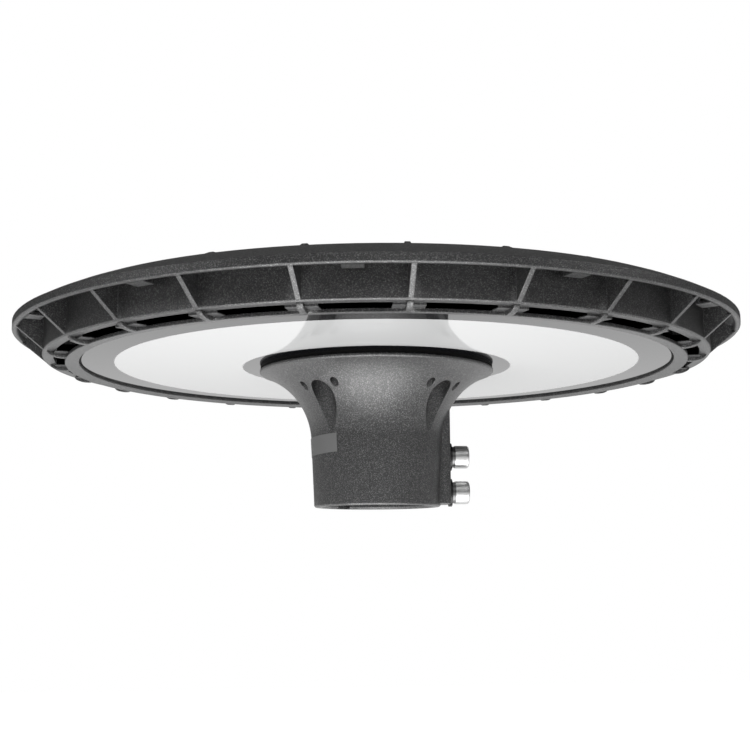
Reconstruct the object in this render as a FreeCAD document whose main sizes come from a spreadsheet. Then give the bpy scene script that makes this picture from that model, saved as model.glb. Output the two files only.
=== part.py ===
import FreeCAD, Part
import math
import os
import Sketcher

# LED park light for the top of a post. Millimetres, +Z up.
# The origin is the centre of the spigot mouth, where the post enters.
# The clamp screws point along +X.

doc = FreeCAD.newDocument("park_light")
sheet = doc.addObject("Spreadsheet::Sheet", "dims")

driving_sizes = (
    # disc-shaped housing, heights from the lower face of the glass
    ("glass_height", 80.8, "lower face of the glass above the spigot mouth"),
    ("disc_radius", 205.2, "outer radius of the rim"),
    ("rim_low", 13.7, "lower edge of the rim above the glass face"),
    ("rim_band", 4.6, "height of the upright band of the rim"),
    ("rim_wall", 3.4, "thickness of the rim lip"),
    ("roof_rise", 8.7, "rise of the sloping rim roof"),
    ("roof_crown", 124.0, "radius of the crowned rim roof"),
    ("roof_wall", 3.0, "thickness of the rim roof"),
    ("rim_reach", 16.2, "rim beyond the wall behind the pockets"),
    ("skirt_wall", 3.0, "thickness of that wall"),
    ("ring_clear", 1.0, "underside of the ring above the glass face"),
    ("ring_floor", 2.6, "thickness of the ring floor beside the slots"),
    ("ring_width", 6.0, "ring between the pockets and the air slots"),
    ("slot_width", 6.3, "air slots"),
    ("flange_top", 0.3, "top of the bezel flange below the glass face"),
    ("flange_width", 7.5, "bezel flange"),
    ("bezel_wall", 3.2, "wall of the bezel"),
    ("bezel_drop", 2.2, "outer edge of the bezel below the glass face"),
    ("bezel_cone", 0.95, "rise of the coned underside of the bezel to the glass"),
    ("bezel_edge", 0.25, "broken outer edge of the bezel"),
    ("chamber_step", 7.2, "seat of the glass in the bezel"),
    ("chamber_wall", 4.0, "wall of the lamp chamber"),
    ("chamber_depth", 19.1, "ceiling of the lamp chamber above the glass face"),
    ("plate_thickness", 4.0, "heat spreader plate"),
    # ribs, fins and lugs
    ("rib_count", 24, "ribs round the rim"),
    ("rib_thickness", 2.4, "thickness of ribs and fins"),
    ("fin_gap", 5.0, "fins outside the edge of the cover"),
    ("fin_inner_rise", 13.0, "fin height over the plate at its inner end"),
    ("fin_outer_rise", 7.0, "fin height over the plate near the rim"),
    ("fin_bend", 9.0, "fins bend down this far inside the rim"),
    ("fin_toe_reach", 10.0, "fins run out this far on the roof"),
    ("bridge_width", 15.0, "bridge between two air slots"),
    ("foot_thickness", 2.8, "rounded foot under each rib"),
    ("foot_reach", 1.1, "foot beyond the air slots"),
    ("foot_radius", 9.0, "rounding of the foot"),
    ("lug_count", 12, "lugs under the rim roof"),
    ("lug_gap", 6.5, "lugs outside the wall behind the pockets"),
    ("lug_width", 10.0, "lug along the rim"),
    ("lug_depth", 4.4, "lug across the rim"),
    ("lug_low", 13.9, "lower end of the lugs above the glass face"),
    ("lug_slit", 1.4, "slit in the lug"),
    ("bite", 0.4, "how far ribs reach into the walls they join"),
    ("edge_break", 0.7, "broken edges of the castings"),
    # hub and driver compartment
    ("hub_radius", 58.0, "hub that passes through the glass"),
    ("cup_step", 12.0, "driver compartment wider than the hub"),
    ("cup_wall", 4.0, "wall of the driver compartment"),
    ("cup_floor", 9.0, "floor of the compartment above the glass face"),
    ("cup_height", 29.0, "height of the compartment above its floor"),
    ("cover_boss_radius", 6.0, "bosses for the cover screws"),
    ("cover_boss_reach", 4.5, "cover screws outside the compartment wall"),
    ("cover_screw_count", 6, "cover screws"),
    ("cover_screw_start", 15.0, "first cover screw, from +X"),
    ("cover_screw_depth", 12.0, "cover screw thread below the rim of the cup"),
    # glass and seals
    ("glass_thickness", 4.0, "thickness of the glass"),
    ("glass_clear", 2.0, "play of the glass round the hub"),
    ("glass_gap", 1.3, "gap round the glass, filled by the seal"),
    ("seal_thickness", 1.0, "compressed seal above the glass"),
    ("seal_setback", 0.5, "seal above the glass face in the gap"),
    ("seal_clear", 0.4, "seal short of the walls beside it"),
    ("spigot_gap", 1.4, "spigot flange below the glass face"),
    ("spigot_seal_width", 9.0, "seal on the spigot flange"),
    # spigot
    ("flare_radius", 42.0, "radius of the flare"),
    ("spigot_rim", 0.4, "spigot flange outside its seal"),
    ("spigot_flange_edge", 2.5, "edge of the spigot flange"),
    ("bore_radius", 31.0, "post bore"),
    ("mouth_wall", 5.3, "wall at the mouth"),
    ("neck_taper", 1.6, "neck wider than the mouth"),
    ("stop_height", 17.4, "post stop below the spigot top"),
    ("stop_step", 4.0, "ledge that stops the post"),
    ("mouth_chamfer", 1.2, "chamfer inside the mouth"),
    ("pad_rise", 3.5, "face of the clamp pad beyond the neck"),
    ("pad_low", 1.5, "clamp pad starts above the mouth"),
    ("pad_side", 4.4, "straight side of the clamp pad"),
    ("pad_blend", 7.0, "hollow blend beside the clamp pad"),
    ("pad_spread", 6.5, "blend beyond the clamp pad on each side"),
    ("pad_width", 22.0, "width of the clamp pad"),
    ("pad_corner", 1.2, "broken corners of the pad"),
    ("key_width", 9.0, "keyway in the bore"),
    ("key_depth", 2.4, "keyway in the bore"),
    ("key_angle", 125.0, "keyway from the clamp pad"),
    ("scallop_radius", 7.0, "screw scallops in the flare"),
    ("scallop_offset", 7.2, "scallops outside the neck"),
    ("scallop_count", 4, "scallops and spigot screws"),
    ("scallop_start", 45.0, "first scallop, from +X"),
    ("seat_depth", 5.2, "screw seat below the spigot top"),
    ("dimple_radius", 2.3, "core dimples beside the scallops"),
    ("dimple_offset", 5.2, "dimples outside the circle of scallops"),
    ("dimple_angle", 13.0, "dimple to each side of a scallop"),
    ("dimple_depth", 8.5, "end of the dimples below the spigot top"),
    ("core_wall", 5.0, "wall between bore and weight-saving pockets"),
    ("core_width", 8.0, "weight-saving pockets"),
    ("core_depth", 14.0, "depth of the weight-saving pockets"),
    ("core_angle", 26.0, "half angle of a weight-saving pocket"),
    # clamp screws, M8 socket head
    ("clamp_low", 8.1, "lower clamp screw above the mouth"),
    ("clamp_pitch", 20.6, "distance between the clamp screws"),
    ("clamp_thread", 4.0, "thread radius"),
    ("clamp_head", 6.5, "head radius"),
    ("clamp_head_height", 8.0, "head height"),
    ("clamp_socket", 6.0, "hexagon across flats"),
    ("clamp_tip", 0.6, "screw tip short of the bore"),
    ("flat_washer_radius", 8.0, "flat washer"),
    ("flat_washer_thickness", 1.6, "flat washer"),
    ("spring_washer_radius", 6.1, "spring washer"),
    ("spring_washer_thickness", 2.0, "spring washer"),
    ("spring_washer_split", 1.2, "split of the spring washer"),
    ("thread_clear", 0.05, "radial play in a tapped hole"),
    ("hole_clear", 0.3, "radial play in a through hole"),
    # spigot screws, M6 socket head
    ("spigot_thread", 3.0, "thread radius"),
    ("spigot_head", 5.0, "head radius"),
    ("spigot_head_height", 4.0, "low head"),
    ("spigot_socket", 5.0, "hexagon across flats"),
    ("spigot_grip", 8.6, "thread in the hub"),
    # small screws, M4 in the compartment and M3 on the lamp board
    ("cover_thread", 2.0, "thread radius of the compartment screws"),
    ("cover_head", 3.6, "head radius of the compartment screws"),
    ("cover_head_height", 2.8, "head height of the compartment screws"),
    ("cover_socket", 2.5, "hexagon across flats"),
    ("floor_grip", 6.0, "screw thread in the compartment floor"),
    ("board_thread", 1.5, "thread radius of the lamp board screws"),
    ("board_head", 2.8, "head radius of the lamp board screws"),
    ("board_head_height", 2.0, "head height of the lamp board screws"),
    ("board_grip", 2.8, "lamp board screw thread in the plate"),
    ("board_socket", 2.0, "hexagon across flats"),
    ("hole_end", 0.6, "blind hole beyond the screw tip"),
    # lamp board
    ("board_gap", 4.0, "lamp board outside the compartment wall"),
    ("board_edge", 6.0, "lamp board inside the chamber wall"),
    ("board_thickness", 1.6, "lamp board"),
    ("board_screw_offset", 28.5, "inner board screws from the inner edge"),
    ("board_screw_inset", 6.5, "outer board screws from the outer edge"),
    ("board_screw_count", 6, "screws on each circle"),
    ("board_screw_start", 7.5, "first board screw, from +X"),
    ("chip_size", 3.0, "side of a lamp chip"),
    ("chip_thickness", 0.8, "height of a lamp chip"),
    ("chip_margin", 16.5, "rings of chips from the edges of the board"),
    ("chip_count_inner", 20, "chips in the inner ring"),
    ("chip_count_middle", 26, "chips in the middle ring"),
    ("chip_count_outer", 30, "chips in the outer ring"),
    # driver, terminal block and leads in the compartment
    ("driver_length", 72.0, "driver case"),
    ("driver_width", 36.0, "driver case"),
    ("driver_height", 25.0, "driver case"),
    ("driver_offset", 34.0, "driver middle from the axis"),
    ("driver_ear", 9.0, "mounting ear at each end"),
    ("driver_ear_thickness", 3.0, "mounting ear"),
    ("driver_round", 2.0, "edges of the driver case"),
    ("block_length", 30.0, "terminal block"),
    ("block_width", 20.0, "terminal block"),
    ("block_height", 16.0, "terminal block"),
    ("block_x", 24.0, "terminal block place"),
    ("block_y", -31.0, "terminal block place"),
    ("block_pitch", 8.0, "poles of the terminal block"),
    ("block_foot", 4.0, "screw foot of the terminal block"),
    ("pole_well", 2.2, "screw wells of the terminal block"),
    ("pole_depth", 6.0, "depth of the screw wells"),
    ("lead_radius", 1.3, "supply lead"),
    ("lead_height", 8.0, "supply leads above the floor"),
    ("dc_radius", 0.9, "lamp lead"),
    ("dc_spacing", 2.6, "distance between the lamp leads"),
    ("dc_height", 5.0, "lamp leads above the floor"),
    ("dc_inset", 5.0, "lamp leads meet the board this far from its edge"),
    ("grommet_bore", 2.8, "grommet"),
    ("grommet_neck", 4.0, "grommet in the wall"),
    ("grommet_flange", 4.8, "grommet flange"),
    ("grommet_flange_thickness", 1.5, "grommet flange"),
    ("earth_x", -38.0, "earth screw place"),
    ("earth_y", -30.0, "earth screw place"),
    ("earth_washer", 5.0, "washer face of the earth screw"),
    ("earth_washer_thickness", 1.2, "washer face of the earth screw"),
    # cable gland
    ("gland_thread", 10.0, "thread radius"),
    ("gland_hex", 24.0, "hexagons across flats"),
    ("gland_hex_height", 5.0, "hexagon of the gland body"),
    ("gland_sleeve", 9.0, "sleeve below the hexagon"),
    ("gland_sleeve_length", 6.5, "sleeve below the hexagon"),
    ("gland_bore", 5.5, "cable passage"),
    ("gland_nut_height", 10.0, "cap nut"),
    ("gland_nut_lip", 2.5, "cap nut below the sleeve"),
    ("gland_entry", 4.6, "opening of the cap nut and seal"),
    ("locknut_height", 5.0, "lock nut in the compartment"),
    ("gland_end", 2.0, "thread above the lock nut"),
    # compartment cover
    ("cover_margin", 10.5, "cover beyond its screws"),
    ("cover_wall", 3.0, "cover wall"),
    ("cover_skirt", 5.0, "edge of the cover below its face"),
    ("cover_crown", 6.0, "rise of the cover"),
    ("cover_inset", 1.5, "cover starts to rise inside the compartment wall"),
    ("cover_seal", 1.5, "compressed cover seal"),
)


class Size:
    # a number from the sheet, or worked out from it, with the expression that gives it
    def __init__(self, value, text):
        self.value = value
        self.text = text

    def __add__(self, other):
        return Size(self.value + value_of(other), "(%s + %s)" % (self.text, text_of(other)))

    def __sub__(self, other):
        return Size(self.value - value_of(other), "(%s - %s)" % (self.text, text_of(other)))

    def __mul__(self, other):
        return Size(self.value * value_of(other), "(%s * %s)" % (self.text, text_of(other)))

    def __truediv__(self, other):
        return Size(self.value / value_of(other), "(%s / %s)" % (self.text, text_of(other)))

    def __neg__(self):
        return Size(-self.value, "(0 - %s)" % self.text)


def value_of(size):
    return size.value if isinstance(size, Size) else float(size)


def text_of(size):
    return size.text if isinstance(size, Size) else repr(float(size))


def root(size):
    return Size(math.sqrt(size.value), "sqrt(%s)" % size.text)


def cosine(degrees):
    return Size(math.cos(math.radians(value_of(degrees))), "cos(%s * 1deg)" % text_of(degrees))


def sine(degrees):
    return Size(math.sin(math.radians(value_of(degrees))), "sin(%s * 1deg)" % text_of(degrees))


zero = Size(0.0, "0")
full_turn = Size(360.0, "360")


class Dims:
    pass


d = Dims()
for row, (name, number, note) in enumerate(driving_sizes, start=1):
    sheet.set("A%d" % row, name)
    sheet.set("B%d" % row, str(number))
    sheet.set("C%d" % row, note)
    sheet.setAlias("B%d" % row, name)
    setattr(d, name, Size(float(number), "dims." + name))
doc.recompute()


# sketches and features

def origin_feature(body, role):
    return [part for part in body.Origin.OriginFeatures if part.Role == role][0]


def new_body(name):
    return doc.addObject("PartDesign::Body", name)


def bind(thing, prop, size):
    setattr(thing, prop, value_of(size))
    if isinstance(size, Size):
        thing.setExpression(prop, size.text)


def new_sketch(body, name, plane, offset=None, turn=None):
    # offset moves the sketch along the normal of its plane, turn swings an XZ sketch about Z
    sketch = body.newObject("Sketcher::SketchObject", name)
    sketch.AttachmentSupport = (origin_feature(body, plane), [""])
    sketch.MapMode = "FlatFace"
    if offset is not None:
        sketch.AttachmentOffset = FreeCAD.Placement(
            FreeCAD.Vector(0, 0, value_of(offset)), FreeCAD.Rotation())
        sketch.setExpression("AttachmentOffset.Base.z", text_of(offset))
    if turn is not None:
        sketch.AttachmentOffset = FreeCAD.Placement(
            FreeCAD.Vector(0, 0, 0), FreeCAD.Rotation(FreeCAD.Vector(0, 1, 0), value_of(turn)))
        sketch.setExpression("AttachmentOffset.Rotation.Angle", text_of(turn))
    return sketch


def pin(sketch, found, geometry, position, x, y):
    # holds a point of the sketch at x, y from its origin
    for kind, axis, size in (("DistanceX", -2, x), ("DistanceY", -1, y)):
        if value_of(size) == 0.0:
            found.append((Sketcher.Constraint("PointOnObject", geometry, position, axis), None))
        else:
            held = Sketcher.Constraint(kind, -1, 1, geometry, position, value_of(size))
            found.append((held, size))


def apply_constraints(sketch, found):
    first = sketch.ConstraintCount
    sketch.addConstraint([held for held, size in found])
    for index, (held, size) in enumerate(found):
        if isinstance(size, Size):
            sketch.setExpression("Constraints[%d]" % (first + index), size.text)


def arc_between(start, end, radius, side):
    # circular arc from start to end with its centre on that side of the way
    way = end - start
    middle = (start + end) * 0.5
    left = FreeCAD.Vector(-way.y, way.x, 0).normalize()
    reach = math.sqrt(radius ** 2 - (way.Length / 2) ** 2)
    centre = middle + left * (reach if side == "left" else -reach)
    first, last = (start, end) if side == "left" else (end, start)
    angles = [math.atan2(point.y - centre.y, point.x - centre.x) for point in (first, last)]
    circle = Part.Circle(centre, FreeCAD.Vector(0, 0, 1), radius)
    return Part.ArcOfCircle(circle, angles[0], angles[1])


def outline(sketch, points):
    # closed outline; a point is (x, y), or (x, y, radius, side) where an arc leads on to the next
    first = sketch.GeometryCount
    places = [FreeCAD.Vector(value_of(point[0]), value_of(point[1]), 0) for point in points]
    shapes = []
    ends = []
    for index, point in enumerate(points):
        start = places[index]
        end = places[(index + 1) % len(points)]
        if len(point) == 2:
            shapes.append(Part.LineSegment(start, end))
            ends.append((1, 2))
        else:
            shapes.append(arc_between(start, end, value_of(point[2]), point[3]))
            ends.append((1, 2) if point[3] == "left" else (2, 1))
    sketch.addGeometry(shapes)
    found = []
    for index, point in enumerate(points):
        after = (index + 1) % len(points)
        joint = Sketcher.Constraint(
            "Coincident", first + index, ends[index][1], first + after, ends[after][0])
        found.append((joint, None))
        pin(sketch, found, first + index, ends[index][0], point[0], point[1])
        if len(point) > 2:
            held = Sketcher.Constraint("Radius", first + index, value_of(point[2]))
            found.append((held, point[2]))
    apply_constraints(sketch, found)


def circle_at(sketch, x, y, radius):
    index = sketch.GeometryCount
    place = FreeCAD.Vector(value_of(x), value_of(y), 0)
    sketch.addGeometry(Part.Circle(place, FreeCAD.Vector(0, 0, 1), value_of(radius)))
    found = []
    pin(sketch, found, index, 3, x, y)
    found.append((Sketcher.Constraint("Radius", index, value_of(radius)), radius))
    apply_constraints(sketch, found)


def hexagon_at(sketch, x, y, across):
    corner = across / math.sqrt(3.0)
    half = across / 2.0
    outline(sketch, [
        (x + corner, y),
        (x + corner / 2.0, y + half),
        (x - corner / 2.0, y + half),
        (x - corner, y),
        (x - corner / 2.0, y - half),
        (x + corner / 2.0, y - half),
    ])


def rectangle_at(sketch, low_x, low_y, high_x, high_y):
    outline(sketch, [(low_x, low_y), (high_x, low_y), (high_x, high_y), (low_x, high_y)])


def revolve(body, name, sketch, axis="V_Axis"):
    feature = body.newObject("PartDesign::Revolution", name)
    feature.Profile = sketch
    feature.ReferenceAxis = (sketch, [axis])
    feature.Angle = 360.0
    feature.Refine = False
    return feature


def pad(body, name, sketch, length, symmetric=False, downward=False):
    feature = body.newObject("PartDesign::Pad", name)
    feature.Profile = sketch
    bind(feature, "Length", length)
    feature.SideType = "Symmetric" if symmetric else "One side"
    feature.Reversed = downward
    feature.Refine = False
    return feature


def pocket(body, name, sketch, length, upward=False, symmetric=False):
    # cuts along the negative normal of its sketch, or the positive one when upward
    doc.recompute()
    before = body.Shape.Volume
    feature = body.newObject("PartDesign::Pocket", name)
    feature.Profile = sketch
    bind(feature, "Length", length)
    feature.SideType = "Symmetric" if symmetric else "One side"
    feature.Reversed = upward
    feature.Refine = False
    doc.recompute()
    if not body.Shape.Volume < before:
        raise RuntimeError("%s of %s cuts nothing" % (name, body.Name))
    return feature


def round_pattern(body, name, features, count):
    pattern = body.newObject("PartDesign::PolarPattern", name)
    pattern.Originals = features
    pattern.Axis = (origin_feature(body, "Z_Axis"), [""])
    pattern.Angle = 360.0
    pattern.Refine = False
    pattern.Occurrences = int(value_of(count))
    if isinstance(count, Size):
        pattern.setExpression("Occurrences", count.text)
    body.Tip = pattern
    return pattern


def line_pattern(body, name, features, role, length, count):
    pattern = body.newObject("PartDesign::LinearPattern", name)
    pattern.Originals = features
    pattern.Direction = (origin_feature(body, role), [""])
    bind(pattern, "Length", length)
    pattern.Occurrences = count
    pattern.Refine = False
    body.Tip = pattern
    return pattern


def round_edges(body, name, base, radius, chosen):
    feature = body.newObject("PartDesign::Fillet", name)
    feature.Base = (base, chosen)
    bind(feature, "Radius", radius)
    return feature


def break_edges(body, name, base, size, chosen):
    feature = body.newObject("PartDesign::Chamfer", name)
    feature.Base = (base, chosen)
    bind(feature, "Size", size)
    return feature


def upright_edges(base, points):
    # names of the straight upright edges that pass through these x, y places
    doc.recompute()
    chosen = []
    for index, edge in enumerate(base.Shape.Edges, start=1):
        low, high = edge.Vertexes[0].Point, edge.Vertexes[-1].Point
        upright = math.hypot(low.x - high.x, low.y - high.y) < 0.001 and abs(low.z - high.z) > 1.0
        for x, y in points:
            if upright and math.hypot(low.x - value_of(x), low.y - value_of(y)) < 0.01:
                chosen.append("Edge%d" % index)
    return chosen


def ring(name, inner, outer, low, high):
    body = new_body(name)
    sketch = new_sketch(body, name + "_section", "XZ_Plane")
    rectangle_at(sketch, inner, low, outer, high)
    revolve(body, name + "_ring", sketch)
    return body


def upright_screws(name, places, seat, head, head_height, thread, grip, across, up):
    # screws parallel to Z with their heads on the seat; up: the thread points up
    body = new_body(name)
    end = seat - head_height if up else seat + head_height
    heads = new_sketch(body, name + "_head_outline", "XY_Plane", offset=seat)
    shanks = new_sketch(body, name + "_shank_outline", "XY_Plane", offset=seat)
    sockets = new_sketch(body, name + "_socket_outline", "XY_Plane", offset=end)
    for x, y in places:
        circle_at(heads, x, y, head)
        circle_at(shanks, x, y, thread)
        hexagon_at(sockets, x, y, across)
    pad(body, name + "_heads", heads, head_height, downward=up)
    pad(body, name + "_shanks", shanks, grip, downward=not up)
    pocket(body, name + "_sockets", sockets, head_height / 2.0, upward=up)
    return body


def on_circle(radius, count, start):
    # places spaced evenly round Z
    step = full_turn / count
    angles = [start + step * index for index in range(int(value_of(count)))]
    return [(radius * cosine(angle), radius * sine(angle)) for angle in angles]


# heights and radii that several pieces share

d.skirt_radius = d.disc_radius - d.rim_reach
d.slot_radius = d.skirt_radius - d.ring_width
d.flange_radius = d.slot_radius - d.slot_width
d.bezel_radius = d.flange_radius - d.flange_width
d.chamber_radius = d.bezel_radius - d.chamber_step
d.foot_outer = d.slot_radius + d.foot_reach
d.lug_radius = d.skirt_radius + d.lug_gap
d.cup_radius = d.hub_radius + d.cup_step
d.glass_bore = d.hub_radius + d.glass_clear
d.spigot_seal_radius = d.hub_radius + d.seal_clear + d.spigot_seal_width
d.spigot_flange = d.spigot_seal_radius + d.spigot_rim
d.mouth_radius = d.bore_radius + d.mouth_wall
d.neck_radius = d.mouth_radius + d.neck_taper
d.stop_radius = d.bore_radius - d.stop_step
d.pad_reach = d.neck_radius + d.pad_rise
d.scallop_circle = d.neck_radius + d.scallop_offset
d.dimple_circle = d.scallop_circle + d.dimple_offset
d.core_inner = d.bore_radius + d.core_wall
d.core_outer = d.core_inner + d.core_width

glass_face = d.glass_height
seat_height = glass_face + d.glass_thickness + d.seal_thickness
plate_under = glass_face + d.chamber_depth
plate_top = plate_under + d.plate_thickness
plate_middle = plate_under + d.plate_thickness / 2.0
ring_under = glass_face + d.ring_clear
ring_middle = ring_under + d.ring_floor / 2.0
ring_top = ring_under + d.ring_floor
rim_under = glass_face + d.rim_low
band_top = rim_under + d.rim_band
trough_outer = d.skirt_radius - d.skirt_wall
lip_inner = d.disc_radius - d.rim_wall
lip_middle = d.disc_radius - d.rim_wall / 2.0
bezel_outer = d.bezel_radius + d.bezel_wall
bezel_under = glass_face - d.bezel_drop
chamber_outer = d.chamber_radius + d.chamber_wall
cup_outer = d.cup_radius + d.cup_wall
cup_floor = glass_face + d.cup_floor
cup_top = cup_floor + d.cup_height
hub_under = glass_face - d.spigot_gap
spigot_top = hub_under
bore_depth = spigot_top - d.stop_height
gland_hole = d.gland_thread + d.hole_clear
flange_top = glass_face - d.flange_top
cover_screw_circle = cup_outer + d.cover_boss_reach
cover_radius = cover_screw_circle + d.cover_margin
cover_flat = cup_outer - d.cover_inset
fin_start = cover_radius + d.fin_gap
fin_shoulder = trough_outer - d.fin_bend
fin_toe = trough_outer + d.fin_toe_reach
board_inner = cup_outer + d.board_gap
board_outer = d.chamber_radius - d.board_edge
board_screw_inner = board_inner + d.board_screw_offset
board_screw_outer = board_outer - d.board_screw_inset
dc_end = board_inner + d.dc_inset
glass_radius = d.bezel_radius - d.glass_gap
board_under = plate_under - d.board_thickness
lead_hole_height = cup_floor + d.dc_height


def roof_at(radius):
    # height of the straight chord of the rim roof
    slope = d.roof_rise / (d.disc_radius - trough_outer)
    return band_top + slope * (d.disc_radius - radius)


driver_ends = [
    (-(d.driver_length / 2.0 + d.driver_ear / 2.0), d.driver_offset),
    (d.driver_length / 2.0 + d.driver_ear / 2.0, d.driver_offset),
]
block_ends = [
    (d.block_x - d.block_length / 2.0 - d.block_foot, d.block_y),
    (d.block_x + d.block_length / 2.0 + d.block_foot, d.block_y),
]
earth_place = [(d.earth_x, d.earth_y)]
spigot_screw_places = on_circle(d.scallop_circle, d.scallop_count, d.scallop_start)
cover_screw_places = on_circle(cover_screw_circle, d.cover_screw_count, d.cover_screw_start)
board_screw_step = full_turn / d.board_screw_count
board_screw_places = (
    on_circle(board_screw_inner, d.board_screw_count, d.board_screw_start)
    + on_circle(board_screw_outer, d.board_screw_count, d.board_screw_start + board_screw_step / 2.0))


def make_housing():
    # one casting: dish with bezel and hub, outer rim, and the webs that join them
    body = new_body("housing")
    dish = new_sketch(body, "dish_section", "XZ_Plane")
    outline(dish, [
        (gland_hole, hub_under),
        (d.hub_radius, hub_under),
        (d.hub_radius, seat_height),
        (cup_outer, seat_height),
        (cup_outer, plate_under),
        (d.chamber_radius, plate_under),
        (d.chamber_radius, seat_height),
        (d.bezel_radius, seat_height),
        (d.bezel_radius, bezel_under + d.bezel_cone),
        (d.flange_radius - d.bezel_edge, bezel_under),
        (d.flange_radius, bezel_under + d.bezel_edge),
        (d.flange_radius, flange_top),
        (bezel_outer, flange_top),
        (bezel_outer, seat_height + d.bezel_wall),
        (chamber_outer, seat_height + d.bezel_wall),
        (chamber_outer, plate_top),
        (cup_outer, plate_top),
        (cup_outer, cup_top),
        (d.cup_radius, cup_top),
        (d.cup_radius, cup_floor),
        (gland_hole, cup_floor),
    ])
    outline(dish, [
        (d.slot_radius, ring_under),
        (d.skirt_radius - d.edge_break, ring_under),
        (d.skirt_radius, ring_under + d.edge_break),
        (d.skirt_radius, roof_at(d.skirt_radius) - d.roof_wall),
        (lip_inner, roof_at(lip_inner) - d.roof_wall),
        (lip_inner, rim_under + d.edge_break),
        (lip_inner + d.edge_break, rim_under),
        (d.disc_radius - d.edge_break, rim_under),
        (d.disc_radius, rim_under + d.edge_break),
        (d.disc_radius, band_top, d.roof_crown, "left"),
        (trough_outer, roof_at(trough_outer)),
        (trough_outer, ring_top),
        (d.slot_radius, ring_top),
    ])
    revolve(body, "dish", dish)

    # bosses that carry the compartment cover
    boss_outline = new_sketch(body, "boss_outline", "XY_Plane", offset=plate_middle)
    for x, y in cover_screw_places:
        circle_at(boss_outline, x, y, d.cover_boss_radius)
    pad(body, "cover_bosses", boss_outline, cup_top - plate_middle)

    # tapped holes
    cover_holes = new_sketch(body, "cover_hole_outline", "XY_Plane", offset=cup_top)
    for x, y in cover_screw_places:
        circle_at(cover_holes, x, y, d.cover_thread + d.thread_clear)
    pocket(body, "cover_holes", cover_holes, d.cover_screw_depth + d.hole_end)
    floor_holes = new_sketch(body, "floor_hole_outline", "XY_Plane", offset=cup_floor)
    for x, y in driver_ends + block_ends + earth_place:
        circle_at(floor_holes, x, y, d.cover_thread + d.thread_clear)
    pocket(body, "floor_holes", floor_holes, d.floor_grip + d.hole_end)
    hub_holes = new_sketch(body, "hub_hole_outline", "XY_Plane", offset=hub_under)
    for x, y in spigot_screw_places:
        circle_at(hub_holes, x, y, d.spigot_thread + d.thread_clear)
    pocket(body, "hub_holes", hub_holes, d.spigot_grip + d.hole_end, upward=True)
    plate_holes = new_sketch(body, "plate_hole_outline", "XY_Plane", offset=plate_under)
    for x, y in board_screw_places:
        circle_at(plate_holes, x, y, d.board_thread + d.thread_clear)
    pocket(body, "plate_holes", plate_holes, d.board_grip + d.hole_end, upward=True)
    lead_hole = new_sketch(body, "lead_hole_outline", "XZ_Plane")
    circle_at(lead_hole, zero, lead_hole_height, d.grommet_neck)
    pocket(body, "lead_hole", lead_hole, cup_outer + d.bite)

    # slit lugs in the middle of every second pocket
    lug_turn = -(full_turn / d.rib_count / 2.0)
    lug_outline = new_sketch(body, "lug_outline", "XZ_Plane", turn=lug_turn)
    half = d.lug_depth / 2.0
    lug_under = glass_face + d.lug_low
    rectangle_at(
        lug_outline, d.lug_radius - half, lug_under,
        d.lug_radius + half, roof_at(d.lug_radius) - d.roof_wall / 2.0)
    lug = pad(body, "lug", lug_outline, d.lug_width, symmetric=True)
    slit_outline = new_sketch(body, "slit_outline", "XZ_Plane", turn=lug_turn)
    rectangle_at(
        slit_outline, d.lug_radius, lug_under + d.lug_slit,
        d.lug_radius + half + d.bite, lug_under + d.lug_slit * 2.0)
    slit = pocket(body, "slit", slit_outline, d.lug_width + d.bite, symmetric=True)
    round_pattern(body, "lugs", [lug, slit], d.lug_count)

    # rib under the rim, wall across the air trough and cooling fin on top, in one web
    web_outline = new_sketch(body, "web_outline", "XZ_Plane")
    outline(web_outline, [
        (fin_start, plate_middle),
        (fin_start, plate_top + d.fin_inner_rise),
        (fin_shoulder, plate_top + d.fin_outer_rise),
        (fin_toe, roof_at(fin_toe) - d.bite),
        (lip_middle, roof_at(lip_middle) - d.roof_wall / 2.0),
        (d.disc_radius - d.edge_break * 2.0, rim_under + d.bite / 2.0),
        (d.skirt_radius - d.edge_break, ring_under + d.bite / 2.0),
        (d.slot_radius + d.bite, ring_middle),
        (bezel_outer - d.bite, ring_middle),
        (bezel_outer - d.bite, seat_height + d.bezel_wall / 2.0),
        (chamber_outer - d.bite, seat_height + d.bezel_wall / 2.0),
        (chamber_outer - d.bite, plate_middle),
    ])
    web = pad(body, "web", web_outline, d.rib_thickness, symmetric=True)
    bridge_outline = new_sketch(body, "bridge_outline", "XZ_Plane")
    rectangle_at(bridge_outline, bezel_outer - d.bite, flange_top, d.slot_radius + d.bite, ring_top)
    bridge = pad(body, "bridge", bridge_outline, d.bridge_width, symmetric=True)
    foot_sketch = new_sketch(body, "foot_outline", "XZ_Plane")
    outline(foot_sketch, [
        (d.foot_outer, ring_under + d.bite, d.foot_radius, "right"),
        (d.flange_radius - d.bite * 3.0, bezel_under + d.bite),
        (bezel_outer, ring_middle),
        (d.foot_outer, ring_middle),
    ])
    foot = pad(body, "foot", foot_sketch, d.foot_thickness, symmetric=True)
    round_pattern(body, "webs", [web, bridge, foot], d.rib_count)
    return body


def make_outer_gasket():
    body = new_body("outer_gasket")
    glass_top = glass_face + d.glass_thickness
    section = new_sketch(body, "outer_gasket_section", "XZ_Plane")
    outline(section, [
        (d.chamber_radius + d.seal_clear, glass_top),
        (glass_radius, glass_top),
        (glass_radius, glass_face + d.seal_setback),
        (d.bezel_radius, glass_face + d.seal_setback),
        (d.bezel_radius, seat_height),
        (d.chamber_radius + d.seal_clear, seat_height),
    ])
    revolve(body, "outer_gasket_ring", section)
    return body


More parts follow.
